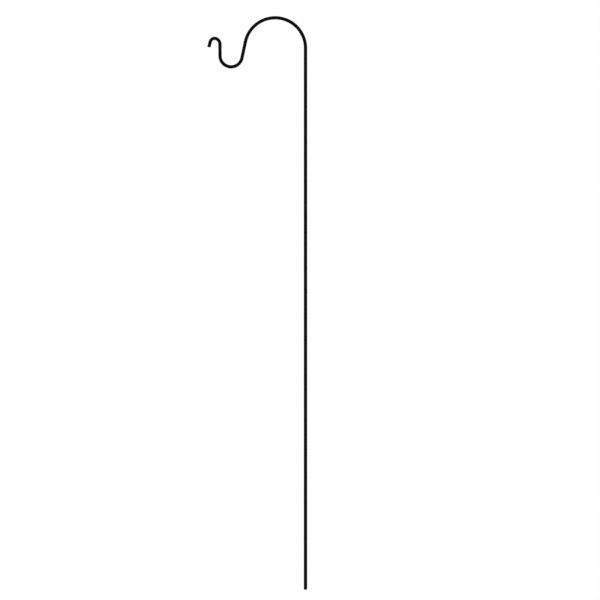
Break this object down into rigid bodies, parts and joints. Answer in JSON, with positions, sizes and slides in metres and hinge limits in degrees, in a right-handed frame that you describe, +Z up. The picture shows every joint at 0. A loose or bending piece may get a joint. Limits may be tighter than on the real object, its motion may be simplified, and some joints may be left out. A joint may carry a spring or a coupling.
{
  "type": "shepherds hook",
  "caption": "Tall garden pole in screwed sections, bent at the top into a wide arch, a hanging cradle and a small curled tip, for lanterns, feeders and baskets.",
  "frame": {"origin": "centre of the pole's blunt ground end, on the pole's axis", "axes": "+Z up along the pole, -X from the pole towards the cradle and the curled tip; the hook lies in the XZ plane"},
  "size_m": [0.372, 0.0132, 2.1344],
  "materials": {
    "powder_coated_tube": "fine-textured matt black powder coat over mild steel",
    "black_plastic": "moulded black polyethylene",
    "black_oxide_steel": "turned steel with an oiled black oxide"
  },
  "bodies": {
    "ground_section": {"ground_tube": "powder_coated_tube", "ground_plug": "powder_coated_tube", "ground_bush": "black_oxide_steel"},
    "lower_screw": {"middle_stud": "black_oxide_steel"},
    "middle_section": {"middle_tube": "powder_coated_tube", "middle_bush": "black_oxide_steel"},
    "upper_screw": {"hook_stud": "black_oxide_steel"},
    "hook_section": {"hook_tube": "powder_coated_tube", "hook_tip_plug": "black_plastic"}
  },
  "joints": [
    {"name": "middle_lift", "type": "slide", "parent": "ground_section", "child": "lower_screw", "axis": [0, 0, 1], "range_m": [0, 0.01125]},
    {"name": "middle_turn", "type": "hinge", "parent": "lower_screw", "child": "middle_section", "pos_m": [0, 0, 0.6858], "axis": [0, 0, 1], "range_deg": [0, 4050]},
    {"name": "hook_lift", "type": "slide", "parent": "middle_section", "child": "upper_screw", "axis": [0, 0, 1], "range_m": [0, 0.01125]},
    {"name": "hook_turn", "type": "hinge", "parent": "upper_screw", "child": "hook_section", "pos_m": [0, 0, 1.4254], "axis": [0, 0, 1], "range_deg": [0, 4050]}
  ],
  "couplings": [
    {"joint": "middle_turn", "follows": "middle_lift", "rad_per_m": 6283.2},
    {"joint": "hook_turn", "follows": "hook_lift", "rad_per_m": 6283.2}
  ]
}
